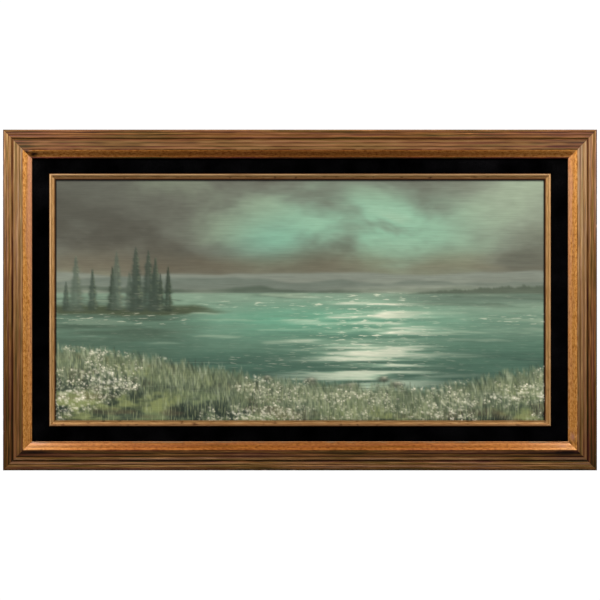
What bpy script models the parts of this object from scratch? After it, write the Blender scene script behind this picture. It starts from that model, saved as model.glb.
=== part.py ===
"""Framed oil painting: a stretched canvas in a gilt fillet, a velvet liner and a reeded moulding.

Metres, +Z up. The picture faces -Y and its flat back lies on the wall plane y = 0. The origin is
the middle of the top rail's back face. Every size is worked outwards from the canvas, the way a
framer orders the pieces.
"""

import math

import bmesh
import bpy
from mathutils import Matrix

# Canvas on its stretcher
CANVAS_WIDTH = 1.219
CANVAS_HEIGHT = 0.610
CANVAS_THICKNESS = 0.0008
STRETCHER_WIDTH = 0.044
STRETCHER_THICKNESS = 0.018
STRETCHER_RELIEF = 0.0025
STRETCHER_BEAD = 0.007

# Gilt fillet round the canvas
CANVAS_CLEARANCE = 0.0012
FILLET_LEG = 0.0033
FILLET_COVER = 0.0095
FILLET_BEAD = 0.0044
FILLET_FLAT = 0.0046
FILLET_PROUD = 0.0025
FILLET_DROP = 0.0055
FILLET_LIP = 0.0028

# Velvet covered liner
LINER_SHOWS = 0.0368
LINER_SIDE_EXTRA = 0.0052
LINER_TUCK = 0.0107
LINER_THICKNESS = 0.016
LINER_CLEARANCE = 0.0013
LINER_EDGE_RADIUS = 0.0015

# Moulding: reed widths run from its outer edge inwards
OUTER_REEDS = (0.0076, 0.0066, 0.0076)
INNER_REEDS = (0.0076, 0.0096, 0.0081)
REED_RELIEF = 0.0012
GROOVE_WIDTH = 0.0038
GROOVE_DEPTH = 0.0030
BEVEL_WIDTH = 0.0164
LIP_WIDTH = 0.0032
LIP_THICKNESS = 0.0042
LIP_RELIEF = 0.0006
BEVEL_DROP = 0.0125
OGEE_BOW = 0.45
INNER_BAND_DROP = 0.0085
OUTER_BAND_DROP = 0.0040
RABBET_DEPTH = 0.034
BACK_CHAMFER = 0.002

# Toothed hangers nailed to the backs of the stiles
HANGER_BELOW_TOP = 0.115
HANGER_HEIGHT = 0.013
HANGER_THICKNESS = 0.0009
HANGER_TAB = 0.009
HANGER_RAMP = 0.003
HANGER_BRIDGE = 0.0225
HANGER_STANDOFF = 0.0022
TOOTH_PITCH = 0.0032
TOOTH_DEPTH = 0.0022
TOOTH_TIP = 0.0004
NAIL_RADIUS = 0.0008
NAIL_HEAD_RADIUS = 0.0022
NAIL_HEAD = 0.0008
NAIL_LENGTH = 0.013
NAIL_POINT = 0.002

# Pieces that meet keep this much air between their faces
GAP = 0.0003

# The fillet's bead is this stretch of a half turn, from the velvet to the cove
BEAD_FROM = 0.15
BEAD_TO = 0.75

# Steps of the drawn arcs
REED_STEPS = 6
GROOVE_STEPS = 4
BEVEL_STEPS = 8
BEAD_STEPS = 6
NAIL_SIDES = 16

WELD = 1e-6
MERGE = 1e-5

# Sections, across
MOULDING_WIDTH = (
    sum(OUTER_REEDS) + GROOVE_WIDTH + sum(INNER_REEDS) + BEVEL_WIDTH + LIP_WIDTH
)
LINER_WIDTH = LINER_SHOWS + LINER_TUCK
FILLET_WIDTH = FILLET_LEG + CANVAS_CLEARANCE + FILLET_COVER
RABBET_WIDTH = LINER_TUCK + LINER_CLEARANCE
BACK_WIDTH = MOULDING_WIDTH - RABBET_WIDTH

# Sections, forward from the wall plane
RIDGE = RABBET_DEPTH + LIP_THICKNESS + BEVEL_DROP
LINER_FRONT = RABBET_DEPTH - GAP
LINER_BACK = LINER_FRONT - LINER_THICKNESS
FILLET_TOP = LINER_FRONT + FILLET_PROUD
FILLET_SIGHT = FILLET_TOP - FILLET_DROP
FILLET_SEAT = FILLET_SIGHT - FILLET_LIP
CANVAS_FRONT = FILLET_SEAT - GAP
CANVAS_BACK = CANVAS_FRONT - CANVAS_THICKNESS
STRETCHER_FRONT = CANVAS_BACK - GAP
STRETCHER_BACK = STRETCHER_FRONT - STRETCHER_THICKNESS

# Outer sizes of each ring of four, width then height
CANVAS_SIZE = (CANVAS_WIDTH, CANVAS_HEIGHT)
STRETCHER_SIZE = tuple(size - 2 * (CANVAS_THICKNESS + GAP) for size in CANVAS_SIZE)
FILLET_SIZE = tuple(size + 2 * (CANVAS_CLEARANCE + FILLET_LEG) for size in CANVAS_SIZE)
LINER_SIZE = tuple(size + 2 * (GAP + LINER_WIDTH) for size in FILLET_SIZE)
FRAME_SIZE = (
    FILLET_SIZE[0] + 2 * (LINER_SHOWS + LINER_SIDE_EXTRA + MOULDING_WIDTH),
    FILLET_SIZE[1] + 2 * (LINER_SHOWS + MOULDING_WIDTH),
)

# The picture's middle lies below the origin, which is on the top rail's back
CENTRE = Matrix.Translation((0, 0, (BACK_WIDTH - FRAME_SIZE[1]) / 2))

# A length's own axes: X inwards from its outer edge, Y forward off the wall, Z along it
LENGTH_AXES = Matrix(((0, 0, -1, 0), (0, -1, 0, 0), (-1, 0, 0, 0), (0, 0, 0, 1)))


def clear_scene():
    for old in list(bpy.data.objects):
        bpy.data.objects.remove(old, do_unlink=True)


def new_collection(name):
    collection = bpy.data.collections.new(name)
    bpy.context.scene.collection.children.link(collection)
    return collection


def new_material(name, colour, roughness, metallic=0.0):
    material = bpy.data.materials.new(name)
    material.use_nodes = True
    shader = material.node_tree.nodes["Principled BSDF"]
    shader.inputs["Base Color"].default_value = (*colour, 1.0)
    shader.inputs["Roughness"].default_value = roughness
    shader.inputs["Metallic"].default_value = metallic
    return material


def extruded_outline(name, outline, length):
    """A closed mesh of an outline in the XY plane, extruded half its length to each side."""
    curve = bpy.data.curves.new(name, "CURVE")
    curve.dimensions = "2D"
    curve.fill_mode = "BOTH"
    curve.extrude = length / 2
    spline = curve.splines.new("POLY")
    spline.points.add(len(outline) - 1)
    for point, (x, y) in zip(spline.points, outline):
        point.co = (x, y, 0, 1)
    spline.use_cyclic_u = True
    drawn = bpy.data.objects.new(name, curve)
    bpy.context.scene.collection.objects.link(drawn)
    seen = drawn.evaluated_get(bpy.context.evaluated_depsgraph_get())
    mesh = bpy.data.meshes.new_from_object(seen)
    bpy.data.objects.remove(drawn, do_unlink=True)
    bpy.data.curves.remove(curve)
    work = bmesh.new()
    work.from_mesh(mesh)
    bmesh.ops.remove_doubles(work, verts=work.verts, dist=WELD)
    bmesh.ops.recalc_face_normals(work, faces=work.faces)
    work.to_mesh(mesh)
    work.free()
    mesh.name = name
    return mesh


def add_object(name, mesh, matrix, material, collection):
    piece = bpy.data.objects.new(name, mesh)
    piece.matrix_world = matrix
    piece.data.materials.append(material)
    collection.objects.link(piece)
    return piece


def side_place(turns, reach):
    """Where a side's outer edge lies: reach from the picture's middle, in quarter turns from the top."""
    turn = Matrix.Rotation(math.radians(90 * turns), 4, "Y")
    return CENTRE @ turn @ Matrix.Translation((0, 0, reach)) @ LENGTH_AXES


def mitred_ring(prefix, outline, size, material, collection):
    """Four lengths of one section, each end sawn at 45 degrees, round an outer width and height."""
    ring = {}
    for turns, side in enumerate(("top", "right", "bottom", "left")):
        length, across = (size[0], size[1]) if turns % 2 == 0 else (size[1], size[0])
        name = f"{prefix}_{side}"
        mesh = extruded_outline(name, outline, length)
        for vertex in mesh.vertices:
            sawn = vertex.co.x + GAP / math.sqrt(2)
            vertex.co.z -= math.copysign(sawn, vertex.co.z)
        place = side_place(turns, across / 2)
        ring[side] = add_object(name, mesh, place, material, collection)
    return ring


def arc(centre, radius, start, end, steps):
    """Points of a round arc, angles in degrees, both ends included."""
    points = []
    for step in range(steps + 1):
        angle = math.radians(start + (end - start) * step / steps)
        points.append(
            (centre[0] + radius * math.cos(angle), centre[1] + radius * math.sin(angle))
        )
    return points


def reeds(start, end, widths):
    """Round reeds side by side on the slope from start to end, without the end point."""
    points = []
    edge = 0.0
    for width in widths:
        for step in range(REED_STEPS):
            across = step / REED_STEPS
            along = (edge + across * width) / sum(widths)
            level = start[1] + (end[1] - start[1]) * along
            swell = REED_RELIEF * math.sin(math.pi * across)
            points.append((start[0] + (end[0] - start[0]) * along, level + swell))
        edge += width
    return points


def moulding_outline():
    """Reverse moulding: two reeded bands climb to a ridge, and a gilt ogee falls to the sight lip."""
    groove_start = sum(OUTER_REEDS)
    groove_end = groove_start + GROOVE_WIDTH
    ridge_at = groove_end + sum(INNER_REEDS)
    foot_at = ridge_at + BEVEL_WIDTH
    shoulder = RIDGE - INNER_BAND_DROP
    outer_edge = shoulder - OUTER_BAND_DROP
    points = [(BACK_CHAMFER, 0.0), (0.0, BACK_CHAMFER)]
    points += reeds((0.0, outer_edge), (groove_start, shoulder), OUTER_REEDS)
    for step in range(GROOVE_STEPS):
        share = step / GROOVE_STEPS
        dip = GROOVE_DEPTH * math.sin(math.pi * share)
        points.append((groove_start + share * GROOVE_WIDTH, shoulder - dip))
    points += reeds((groove_end, shoulder), (ridge_at, RIDGE), INNER_REEDS)
    for step in range(BEVEL_STEPS + 1):
        share = step / BEVEL_STEPS
        ogee = share - OGEE_BOW * math.sin(math.tau * share) / math.tau
        points.append((ridge_at + share * BEVEL_WIDTH, RIDGE - ogee * BEVEL_DROP))
    for step in range(1, BEAD_STEPS + 1):
        share = step / BEAD_STEPS
        swell = LIP_RELIEF * math.sin(math.pi * share)
        points.append((foot_at + share * LIP_WIDTH, RIDGE - BEVEL_DROP + swell))
    points.append((MOULDING_WIDTH, RABBET_DEPTH))
    points.append((BACK_WIDTH, RABBET_DEPTH))
    points.append((BACK_WIDTH, 0.0))
    return points


def liner_outline():
    """Flat board, its front inner edge eased under the velvet."""
    centre = (LINER_WIDTH - LINER_EDGE_RADIUS, LINER_FRONT - LINER_EDGE_RADIUS)
    points = [(0.0, LINER_BACK), (0.0, LINER_FRONT)]
    points += arc(centre, LINER_EDGE_RADIUS, 90, 0, BEAD_STEPS)
    points.append((LINER_WIDTH, LINER_BACK))
    return points


def fillet_outline():
    """Round bead against the velvet, a cove, and a flat over the canvas with a rabbet behind it."""
    cove_end = FILLET_WIDTH - FILLET_FLAT
    points = [(0.0, LINER_BACK)]
    for step in range(BEAD_STEPS + 1):
        share = step / BEAD_STEPS
        turn = BEAD_FROM + (BEAD_TO - BEAD_FROM) * share
        swell = FILLET_PROUD * math.sin(math.pi * turn)
        points.append((share * FILLET_BEAD, FILLET_TOP - FILLET_PROUD + swell))
    bead_end = points[-1]
    for step in range(1, BEAD_STEPS + 1):
        share = step / BEAD_STEPS
        fall = math.sin(math.pi / 2 * share)
        across = bead_end[0] + (cove_end - bead_end[0]) * share
        points.append((across, bead_end[1] + (FILLET_SIGHT - bead_end[1]) * fall))
    points.append((FILLET_WIDTH, FILLET_SIGHT))
    points.append((FILLET_WIDTH, FILLET_SEAT))
    points.append((FILLET_LEG, FILLET_SEAT))
    points.append((FILLET_LEG, LINER_BACK))
    return points


def stretcher_outline():
    """Softwood bar whose raised outer bead keeps the canvas off its face."""
    low = STRETCHER_FRONT - STRETCHER_RELIEF
    return [
        (0.0, STRETCHER_BACK),
        (0.0, STRETCHER_FRONT),
        (STRETCHER_BEAD, STRETCHER_FRONT),
        (2 * STRETCHER_BEAD, low),
        (STRETCHER_WIDTH, low),
        (STRETCHER_WIDTH, STRETCHER_BACK),
    ]


def canvas_sheet(material, collection):
    """The painted face of the canvas, flat across the bars."""
    bpy.ops.mesh.primitive_cube_add(size=1)
    canvas = bpy.context.object
    canvas.name = "canvas"
    canvas.data.name = "canvas"
    size = (CANVAS_WIDTH, CANVAS_THICKNESS, CANVAS_HEIGHT)
    canvas.data.transform(Matrix.Diagonal((*size, 1)))
    middle = (0, -(CANVAS_FRONT + CANVAS_BACK) / 2, 0)
    canvas.matrix_world = CENTRE @ Matrix.Translation(middle)
    canvas.data.materials.append(material)
    for owner in list(canvas.users_collection):
        owner.objects.unlink(canvas)
    collection.objects.link(canvas)


def as_cutter(cutter, collection):
    collection.objects.link(cutter)
    cutter.hide_render = True
    cutter.display_type = "WIRE"
    return cutter


def round_cutter(name, radius, length, matrix, collection):
    """A round bar along Z, centred on its place."""
    work = bmesh.new()
    bmesh.ops.create_cone(
        work,
        cap_ends=True,
        segments=NAIL_SIDES,
        radius1=radius,
        radius2=radius,
        depth=length,
    )
    mesh = bpy.data.meshes.new(name)
    work.to_mesh(mesh)
    work.free()
    cutter = bpy.data.objects.new(name, mesh)
    cutter.matrix_world = matrix
    return as_cutter(cutter, collection)


def cut(piece, cutter):
    step = piece.modifiers.new(cutter.name, "BOOLEAN")
    step.operation = "DIFFERENCE"
    step.solver = "EXACT"
    step.object = cutter


def hanger_profile():
    """Side view of the strip: two tabs on the wood and a bridge that stands off it."""
    half = HANGER_BRIDGE / 2
    lower = [
        (-half - HANGER_RAMP - HANGER_TAB, GAP),
        (-half - HANGER_RAMP, GAP),
        (-half, GAP + HANGER_STANDOFF),
        (half, GAP + HANGER_STANDOFF),
        (half + HANGER_RAMP, GAP),
        (half + HANGER_RAMP + HANGER_TAB, GAP),
    ]
    upper = [(x, y + HANGER_THICKNESS) for x, y in reversed(lower)]
    return lower + upper


def tooth_cutter(name, matrix, collection):
    """A bar under the bridge with pointed peaks, which leaves blunt teeth along its lower edge."""
    notches = int(HANGER_BRIDGE / TOOTH_PITCH)
    half = notches * TOOTH_PITCH / 2
    edge = -HANGER_HEIGHT / 2
    outline = [(-half, edge - TOOTH_DEPTH)]
    for notch in range(notches):
        start = -half + notch * TOOTH_PITCH
        outline.append((start, edge - TOOTH_TIP))
        outline.append((start + TOOTH_PITCH / 2, edge + TOOTH_DEPTH))
    outline += [(half, edge - TOOTH_TIP), (half, edge - TOOTH_DEPTH)]
    depth = 4 * (HANGER_STANDOFF + HANGER_THICKNESS)
    cutter = bpy.data.objects.new(name, extruded_outline(name, outline, depth))
    cutter.matrix_world = matrix
    return as_cutter(cutter, collection)


def nail(name, matrix, material, collection):
    """A flat headed tack, its axis along Z, the head's underside at its origin."""
    profile = [
        (0.0, NAIL_HEAD),
        (NAIL_HEAD_RADIUS, NAIL_HEAD),
        (NAIL_HEAD_RADIUS, 0.0),
        (NAIL_RADIUS, 0.0),
        (NAIL_RADIUS, NAIL_POINT - NAIL_LENGTH),
        (0.0, -NAIL_LENGTH),
    ]
    mesh = bpy.data.meshes.new(name)
    edges = [(index, index + 1) for index in range(len(profile) - 1)]
    mesh.from_pydata([(x, 0.0, z) for x, z in profile], edges, [])
    piece = add_object(name, mesh, matrix, material, collection)
    turned = piece.modifiers.new("turned", "SCREW")
    turned.angle = math.tau
    turned.steps = NAIL_SIDES
    turned.render_steps = NAIL_SIDES
    turned.use_merge_vertices = True
    turned.merge_threshold = MERGE
    return piece


def add_hanger(side, stile, direction, materials, parts, cutters):
    """A toothed strip across the back of one stile, held by a nail through each tab."""
    name = f"hanger_{side}"
    across = direction * (FRAME_SIZE[0] - BACK_WIDTH) / 2
    place = Matrix.Translation((across, 0, BACK_WIDTH / 2 - HANGER_BELOW_TOP))
    upright = Matrix.Rotation(math.radians(-90), 4, "X")
    # The strip's side view lies flat in XY with the extrusion upright, so it needs no turning.
    mesh = extruded_outline(name, hanger_profile(), HANGER_HEIGHT)
    strip = add_object(name, mesh, place, materials["hanger"], parts)
    faced = place @ Matrix.Rotation(math.radians(90), 4, "X")
    cut(strip, tooth_cutter(f"{name}_teeth", faced, cutters))
    tab_middle = HANGER_BRIDGE / 2 + HANGER_RAMP + HANGER_TAB / 2
    for number, shift in enumerate((-tab_middle, tab_middle), start=1):
        head_seat = 2 * GAP + HANGER_THICKNESS
        seat = place @ Matrix.Translation((shift, head_seat, 0)) @ upright
        nail(f"{name}_nail_{number}", seat, materials["nail"], parts)
        # The bore clears the shank through the strip and on into the wood.
        reach = 2 * (NAIL_LENGTH + GAP)
        bore = round_cutter(
            f"{name}_bore_{number}", NAIL_RADIUS + GAP, reach, seat, cutters
        )
        cut(strip, bore)
        cut(stile, bore)


def build():
    clear_scene()
    parts = new_collection("Oil painting")
    cutters = new_collection("Cutters")
    materials = {
        "moulding": new_material("Toned gilt wood", (0.21, 0.115, 0.05), 0.5, 0.2),
        "liner": new_material("Black velvet", (0.002, 0.002, 0.003), 1.0),
        "fillet": new_material("Gold leaf", (0.48, 0.27, 0.10), 0.35, 0.7),
        "canvas": new_material("Oil paint on canvas", (0.13, 0.18, 0.13), 0.45),
        "stretcher": new_material("Pine", (0.55, 0.38, 0.20), 0.7),
        "hanger": new_material("Brassed steel", (0.55, 0.42, 0.18), 0.35, 1.0),
        "nail": new_material("Bright steel", (0.5, 0.5, 0.5), 0.3, 1.0),
    }
    frame = mitred_ring(
        "frame_rail", moulding_outline(), FRAME_SIZE, materials["moulding"], parts
    )
    mitred_ring("velvet_liner", liner_outline(), LINER_SIZE, materials["liner"], parts)
    mitred_ring(
        "gilt_fillet", fillet_outline(), FILLET_SIZE, materials["fillet"], parts
    )
    mitred_ring(
        "stretcher_bar", stretcher_outline(), STRETCHER_SIZE, materials["stretcher"], parts
    )
    canvas_sheet(materials["canvas"], parts)
    add_hanger("left", frame["left"], -1, materials, parts, cutters)
    add_hanger("right", frame["right"], 1, materials, parts, cutters)


build()
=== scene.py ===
"""The looks of a framed oil painting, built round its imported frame.

Metres, +Z up. The picture faces -Y and its flat back lies on the wall plane y = 0. The sections
follow the work of the painter and the framer, from the stretcher out to the moulding.
"""

import math

import bmesh
import bpy
import numpy as np
from mathutils import Matrix, Vector


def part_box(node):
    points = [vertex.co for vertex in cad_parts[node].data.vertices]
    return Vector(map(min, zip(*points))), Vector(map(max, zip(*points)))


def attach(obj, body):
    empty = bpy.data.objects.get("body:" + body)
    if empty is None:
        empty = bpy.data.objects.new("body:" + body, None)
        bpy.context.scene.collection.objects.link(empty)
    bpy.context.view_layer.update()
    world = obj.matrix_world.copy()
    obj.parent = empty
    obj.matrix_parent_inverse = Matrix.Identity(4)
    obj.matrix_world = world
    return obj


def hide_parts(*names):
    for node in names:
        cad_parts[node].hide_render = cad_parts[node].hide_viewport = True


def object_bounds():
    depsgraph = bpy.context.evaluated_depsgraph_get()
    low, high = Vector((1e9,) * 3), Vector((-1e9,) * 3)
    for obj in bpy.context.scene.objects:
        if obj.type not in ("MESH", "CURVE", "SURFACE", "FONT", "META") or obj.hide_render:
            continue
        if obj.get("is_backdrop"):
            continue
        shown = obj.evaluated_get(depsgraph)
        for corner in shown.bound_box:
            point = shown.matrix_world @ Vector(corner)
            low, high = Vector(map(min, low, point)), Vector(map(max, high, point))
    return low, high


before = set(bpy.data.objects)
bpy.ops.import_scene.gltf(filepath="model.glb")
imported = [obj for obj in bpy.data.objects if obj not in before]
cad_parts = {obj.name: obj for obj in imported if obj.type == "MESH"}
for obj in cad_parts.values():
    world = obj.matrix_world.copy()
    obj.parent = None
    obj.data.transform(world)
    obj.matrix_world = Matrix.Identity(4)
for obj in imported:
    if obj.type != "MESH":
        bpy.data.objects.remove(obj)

cad_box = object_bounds()

# The stretcher: four mitred pine bars, planed and eased, with a raised outer bead so that the cloth
# touches them nowhere else. The lengths below are laid round the picture as the bars are.

SEAM = 0.00006
SIDES = ("top", "right", "bottom", "left")
canvas_low, canvas_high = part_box("canvas")
MIDDLE = Matrix.Translation((0, 0, (canvas_low.z + canvas_high.z) / 2))
# Lays a length's own axes, across, forward and along, where the top one has them.
LENGTH_AXES = Matrix(((0, 0, -1, 0), (0, -1, 0, 0), (-1, 0, 0, 0), (0, 0, 0, 1)))


def to_linear(values):
    """sRGB values from 0 to 1, turned to linear light."""
    values = np.asarray(values, float)
    return np.where(values <= 0.04045, values / 12.92, ((values + 0.055) / 1.055) ** 2.4)


def pigment(code):
    """An sRGB hex value as three numbers from 0 to 1."""
    return np.array([int(code[place : place + 2], 16) / 255 for place in (1, 3, 5)])


def shade(code):
    """The linear RGBA colour of an sRGB hex value."""
    return (*to_linear(pigment(code)).tolist(), 1.0)


def add_node(tree, kind, sockets=None, stops=None, out=None, **settings):
    """One node: its settings, socket values or feeding sockets, and a ramp's stops.

    Gives back the output named by out, or else its first output in use.
    """
    made = tree.nodes.new("ShaderNode" + kind)
    for name, value in settings.items():
        setattr(made, name, value)
    for name, value in (sockets or {}).items():
        if isinstance(value, bpy.types.NodeSocket):
            tree.links.new(value, made.inputs[name])
        else:
            made.inputs[name].default_value = value
    if stops:
        ramp = made.color_ramp.elements
        while len(ramp) < len(stops):
            ramp.new(1.0)
        for element, (position, code) in zip(ramp, stops):
            element.position = position
            element.color = shade(code)
    return made.outputs[out] if out else next(socket for socket in made.outputs if socket.enabled)


def streaks(tree, where, per_metre, detail, **texture):
    """Soft random streaks; per_metre is how many cross a metre of the surface each way."""
    laid = add_node(tree, "Mapping", {"Vector": where, "Scale": per_metre})
    return add_node(tree, "TexNoise", {"Vector": laid, "Scale": 1.0, "Detail": detail, **texture})


def start_material(name, **surface):
    """A new Principled material: its node tree, its shader and the even values of its surface."""
    material = bpy.data.materials.new(name)
    material.use_nodes = True
    shader = material.node_tree.nodes["Principled BSDF"]
    for socket, value in surface.items():
        shader.inputs[socket.replace("_", " ")].default_value = value
    return material, material.node_tree, shader


def finish_surface(tree, shader, colour, height, strength, depth):
    """Gives a surface its colour, and relief from a height that is depth metres at most."""
    relief = add_node(tree, "Bump", {"Height": height, "Strength": strength, "Distance": depth})
    tree.links.new(colour, shader.inputs["Base Color"])
    tree.links.new(relief, shader.inputs["Normal"])


def sawn_wood(name, early, late, stain, ring):
    """Softwood or plain hardwood off the saw or planer: matt, with long soft growth lines and fine
    dark fibres, which are drawn 0.6 mm apart, coarser than real ones, so that they show.

    early, late and stain are its colours, and ring is the spacing of its growth in metres.
    """
    material, tree, shader = start_material(name, Roughness=0.72, Specular_IOR_Level=0.25)
    grain = add_node(tree, "UVMap", uv_map="Grain")
    growth = streaks(tree, grain, (2.2, 0.5 / ring, 1), 4.0, Roughness=0.55, Distortion=0.5)
    tone = add_node(tree, "ValToRGB", {"Fac": growth}, stops=((0.36, late), (0.56, early)))
    fibre = streaks(tree, grain, (45, 1600, 1), 2.0)
    patch = streaks(tree, grain, (6, 22, 1), 5.0)
    stained = add_node(
        tree, "MapRange", {"Value": patch, "From Min": 0.5, "From Max": 0.75, "To Max": 0.55}
    )
    aged = add_node(
        tree, "Mix", {"Factor": stained, "A": tone, "B": shade(stain)}, data_type="RGBA"
    )
    fine = add_node(
        tree,
        "MapRange",
        {"Value": fibre, "From Min": 0.3, "From Max": 0.7, "To Min": 0.86, "To Max": 1.04},
    )
    toned = add_node(tree, "VectorMath", {0: aged, "Scale": fine}, operation="SCALE")
    finish_surface(tree, shader, toned, fibre, 0.35, 0.0003)
    return material


def lay_run(side, ring, outline, step, seam=SEAM):
    """Points of one mitred length of a ring: rows follow its outline, columns run along it.

    ring is the outer width and height, outline its section as (across, forward) rows, and step the
    spacing of the columns. Returns the three coordinates along, across and forward.
    """
    length = ring[side % 2]
    count = max(2, round(length / step) + 1)
    across = np.repeat(np.asarray(outline)[:, :1], count, axis=1)
    forward = np.repeat(np.asarray(outline)[:, 1:2], count, axis=1)
    along = np.linspace(-1, 1, count) * (length / 2 - across - seam)
    return along, across, forward


def set_in_place(side, ring, along, across, forward):
    """The same points where the length lies in the picture's frame."""
    turn = Matrix.Rotation(math.radians(90 * side), 4, "Y")
    reach = Matrix.Translation((0, 0, ring[1 - side % 2] / 2))
    axes = np.array(MIDDLE @ turn @ reach @ LENGTH_AXES)
    local = np.stack([across, forward, along], axis=-1).reshape(-1, 3)
    return local @ axes[:3, :3].T + axes[:3, 3]


def carry(mesh, name, amounts):
    """Gives the first points of a mesh their amounts for its material, under this name."""
    channels = np.ones((len(mesh.vertices), 4), np.float32)
    channels[: len(amounts), :3] = amounts
    layer = mesh.color_attributes.new(name, "FLOAT_COLOR", "POINT")
    layer.data.foreach_set("color", channels.ravel())


def make_piece(mesh, materials, crease, slot, *nodes):
    """A visible piece in place of these nodes, smooth but for edges over crease degrees."""
    for material in materials:
        mesh.materials.append(material)
    mesh.shade_smooth()
    mesh.set_sharp_from_angle(angle=math.radians(crease))
    piece = bpy.data.objects.new(mesh.name, mesh)
    bpy.context.scene.collection.objects.link(piece)
    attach(piece, "root")
    if nodes:
        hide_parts(*nodes)
    return piece


def mesh_length(side, stems, slot, ring, run, skins, materials, carried=None):
    """One closed length of a ring; stems begin its own name and that of the node it hides.

    skins numbers the material of each row's face. Its map "Grain" holds the distance along and
    round the section in metres, and carried names sets of three amounts at each of its points.
    """
    own, hidden = (f"{stem}_{SIDES[side]}" for stem in stems)
    along, across, forward = run
    rows, columns = along.shape
    index = np.arange(rows * columns).reshape(rows, columns)
    after = np.roll(index, -1, axis=0)
    faces = np.stack([index[:, :-1], index[:, 1:], after[:, 1:], after[:, :-1]], axis=-1)
    faces = faces.reshape(-1, 4)
    caps = [index[::-1, 0].tolist(), index[:, -1].tolist()]
    mesh = bpy.data.meshes.new(own)
    points = set_in_place(side, ring, along, across, forward)
    mesh.from_pydata(points.tolist(), [], faces.tolist() + caps)
    middle = columns // 2
    section = np.stack([across[:, middle], forward[:, middle]], axis=-1)
    steps = np.linalg.norm(np.roll(section, -1, axis=0) - section, axis=1)
    girth = np.concatenate([[0.0], np.cumsum(steps)])
    row = np.repeat(np.arange(rows), columns - 1)
    round_it = np.stack([girth[row], girth[row], girth[row + 1], girth[row + 1]], axis=-1)
    along_it = along.reshape(-1)[faces] + 2.0 * side
    grain = np.stack([along_it, round_it], axis=-1).reshape(-1, 2)
    spare = np.zeros((len(mesh.loops) - len(grain), 2))
    layer = mesh.uv_layers.new(name="Grain")
    layer.data.foreach_set("uv", np.concatenate([grain, spare]).astype(np.float32).ravel())
    skin = np.concatenate([np.asarray(skins)[row], np.zeros(len(caps))])
    mesh.polygons.foreach_set("material_index", skin.astype(np.int32))
    for title, amounts in (carried or {}).items():
        carry(mesh, title, np.stack(amounts, axis=-1).reshape(-1, 3))
    return make_piece(mesh, materials, 32, slot, hidden)


def eased(outline, radius, steps=3):
    """A section with its corners rounded off. Corners between short edges are rounded less."""
    corners = [np.array(point, float) for point in outline]
    points = []
    for place, corner in enumerate(corners):
        before = corners[place - 1] - corner
        beyond = corners[(place + 1) % len(corners)] - corner
        cut = min(radius, 0.4 * np.linalg.norm(before), 0.4 * np.linalg.norm(beyond))
        start = corner + cut * before / np.linalg.norm(before)
        end = corner + cut * beyond / np.linalg.norm(beyond)
        for share in np.linspace(0, 1, steps + 1):
            bend = (1 - share) ** 2 * start + 2 * share * (1 - share) * corner
            points.append(bend + share**2 * end)
    return np.array(points)


def ring_of(prefix):
    """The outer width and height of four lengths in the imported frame."""
    top_low, top_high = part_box(f"{prefix}_top")
    bottom_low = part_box(f"{prefix}_bottom")[0]
    return (top_high.x - top_low.x, top_high.z - bottom_low.z)


bar_low, bar_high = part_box("stretcher_bar_top")
BAR_RING = ring_of("stretcher_bar")
BAR_WIDTH = 0.044
BAR_BEAD = 0.007
BAR_RELIEF = 0.0025
BAR_EASING = 0.0012
BAR_STEP = 0.05
BAR_FRONT = -bar_low.y
BAR_BACK = -bar_high.y
pine = sawn_wood("Planed pine", "#d9b685", "#b5854f", "#96713f", 0.005)
bar_outline = eased(
    [
        (0.0, BAR_BACK),
        (0.0, BAR_FRONT),
        (BAR_BEAD, BAR_FRONT),
        (2 * BAR_BEAD, BAR_FRONT - BAR_RELIEF),
        (BAR_WIDTH, BAR_FRONT - BAR_RELIEF),
        (BAR_WIDTH, BAR_BACK),
    ],
    BAR_EASING,
)
bar_skins = [0] * len(bar_outline)
bar_stems = ("dressed_bar", "stretcher_bar")
for side in range(4):
    run = lay_run(side, BAR_RING, bar_outline, BAR_STEP)
    mesh_length(side, bar_stems, "softwood", BAR_RING, run, bar_skins, [pine])

# The cloth: primed cotton pulled over the bars' outer edges and turned in behind them. The front is
# hidden by the paint; the turned edges and the back show bare threads.

CLOTH_THICKNESS = 0.00045
CLOTH_GAP = 0.0003
PAINT_ROOM = 0.00035
EDGE_ROOM = 0.0003
CLOTH_FRONT = -canvas_low.y - PAINT_ROOM
CLOTH_BEND = 0.0012
CLOTH_FLAP = 0.027
CLOTH_STEP = 0.01
CLOTH_FRAY = 0.0006
MERGE_WITHIN = 0.00002
THREADS_PER_METRE = 600
CLOTH_RING = tuple(canvas_high[axis] - canvas_low[axis] - 2 * EDGE_ROOM for axis in (0, 2))


def add_form(work, rings):
    """A closed form: rings of points one after the other, capped at both ends."""
    placed = [[work.verts.new(point) for point in ring] for ring in rings]
    count = len(placed[0])
    for near, far in zip(placed, placed[1:]):
        for n in range(count):
            work.faces.new((near[n], near[(n + 1) % count], far[(n + 1) % count], far[n]))
    work.faces.new(placed[0][::-1])
    work.faces.new(placed[-1])


def mesh_of(work, name):
    """The mesh of finished work, with its faces turned outwards."""
    bmesh.ops.recalc_face_normals(work, faces=work.faces)
    mesh = bpy.data.meshes.new(name)
    work.to_mesh(mesh)
    work.free()
    return mesh


def quarter(centre, radius, start, steps=4):
    """Points of a quarter turn, clockwise from an angle in degrees."""
    angles = np.radians(start - 90 * np.arange(steps + 1) / steps)
    return [
        (centre[0] + radius * math.cos(angle), centre[1] + radius * math.sin(angle))
        for angle in angles
    ]


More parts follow.
